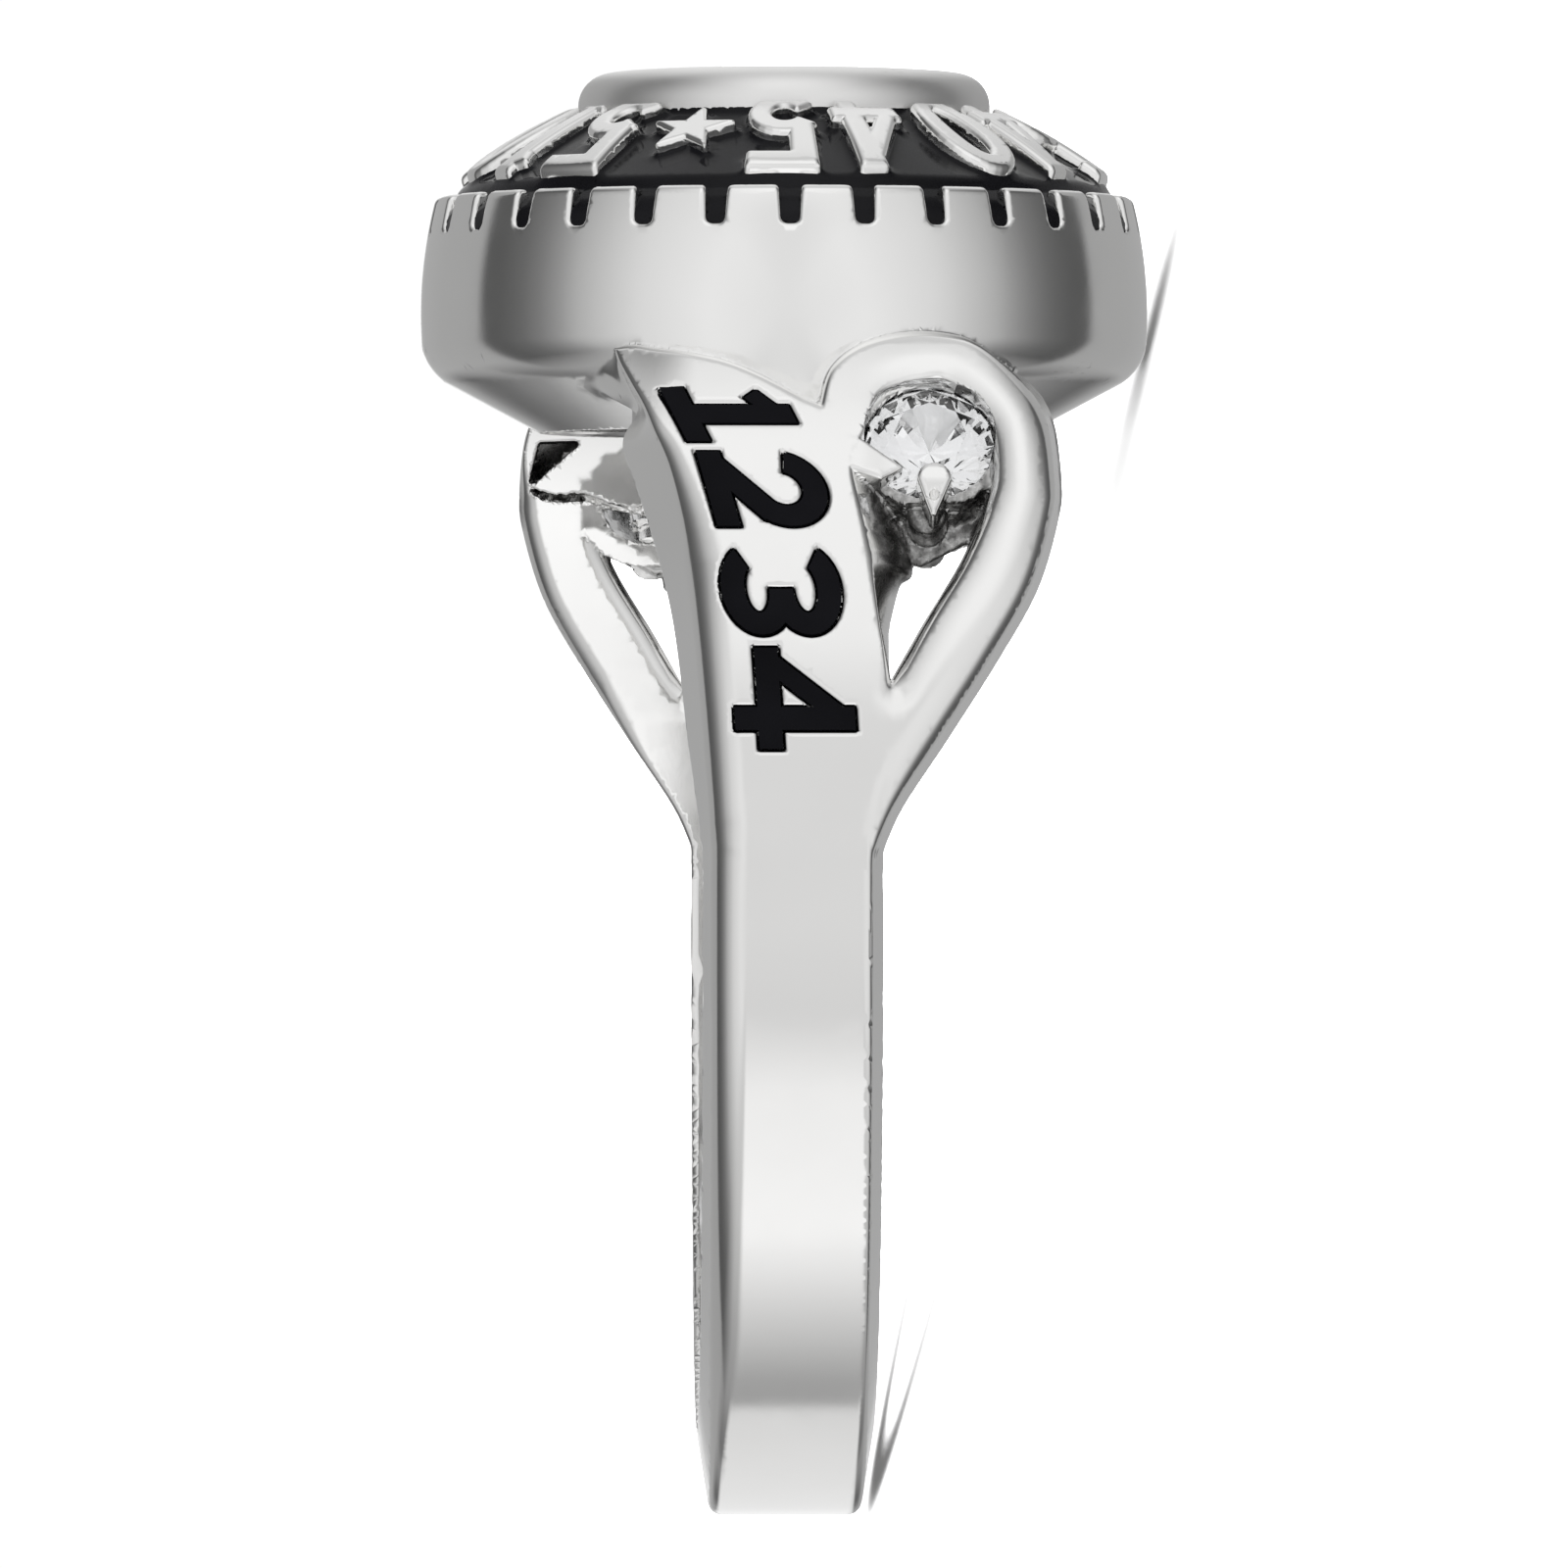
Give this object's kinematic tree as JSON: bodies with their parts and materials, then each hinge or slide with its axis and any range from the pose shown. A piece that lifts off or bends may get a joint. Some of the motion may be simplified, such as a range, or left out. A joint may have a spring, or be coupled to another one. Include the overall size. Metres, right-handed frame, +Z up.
{
  "type": "class ring",
  "caption": "Cast silver class ring with a round bezel head, raised dial numerals in black enamel, and heart-shaped shoulders that hold small clear brilliants.",
  "frame": {"origin": "centre of the footprint on the table, with the ring lying on its side as it rests by itself", "axes": "+X from the palm side of the band towards the bezel head, +Z up from the table, +Y across the finger hole from one shoulder to the other"},
  "size_m": [0.0256, 0.0204, 0.0128],
  "materials": {
    "silver": "polished",
    "enamel": "gloss",
    "stone": "polished facets"
  },
  "bodies": {
    "root": {"ring_body": "silver", "bezel_enamel": "enamel", "main_stone": "stone", "side_stone_near": "stone", "side_stone_far": "stone", "digit_near_1": "enamel", "digit_near_2": "enamel", "digit_near_3": "enamel", "digit_near_4": "enamel", "digit_far_1": "enamel", "digit_far_2": "enamel", "digit_far_3": "enamel", "digit_far_4": "enamel"}
  },
  "joints": []
}
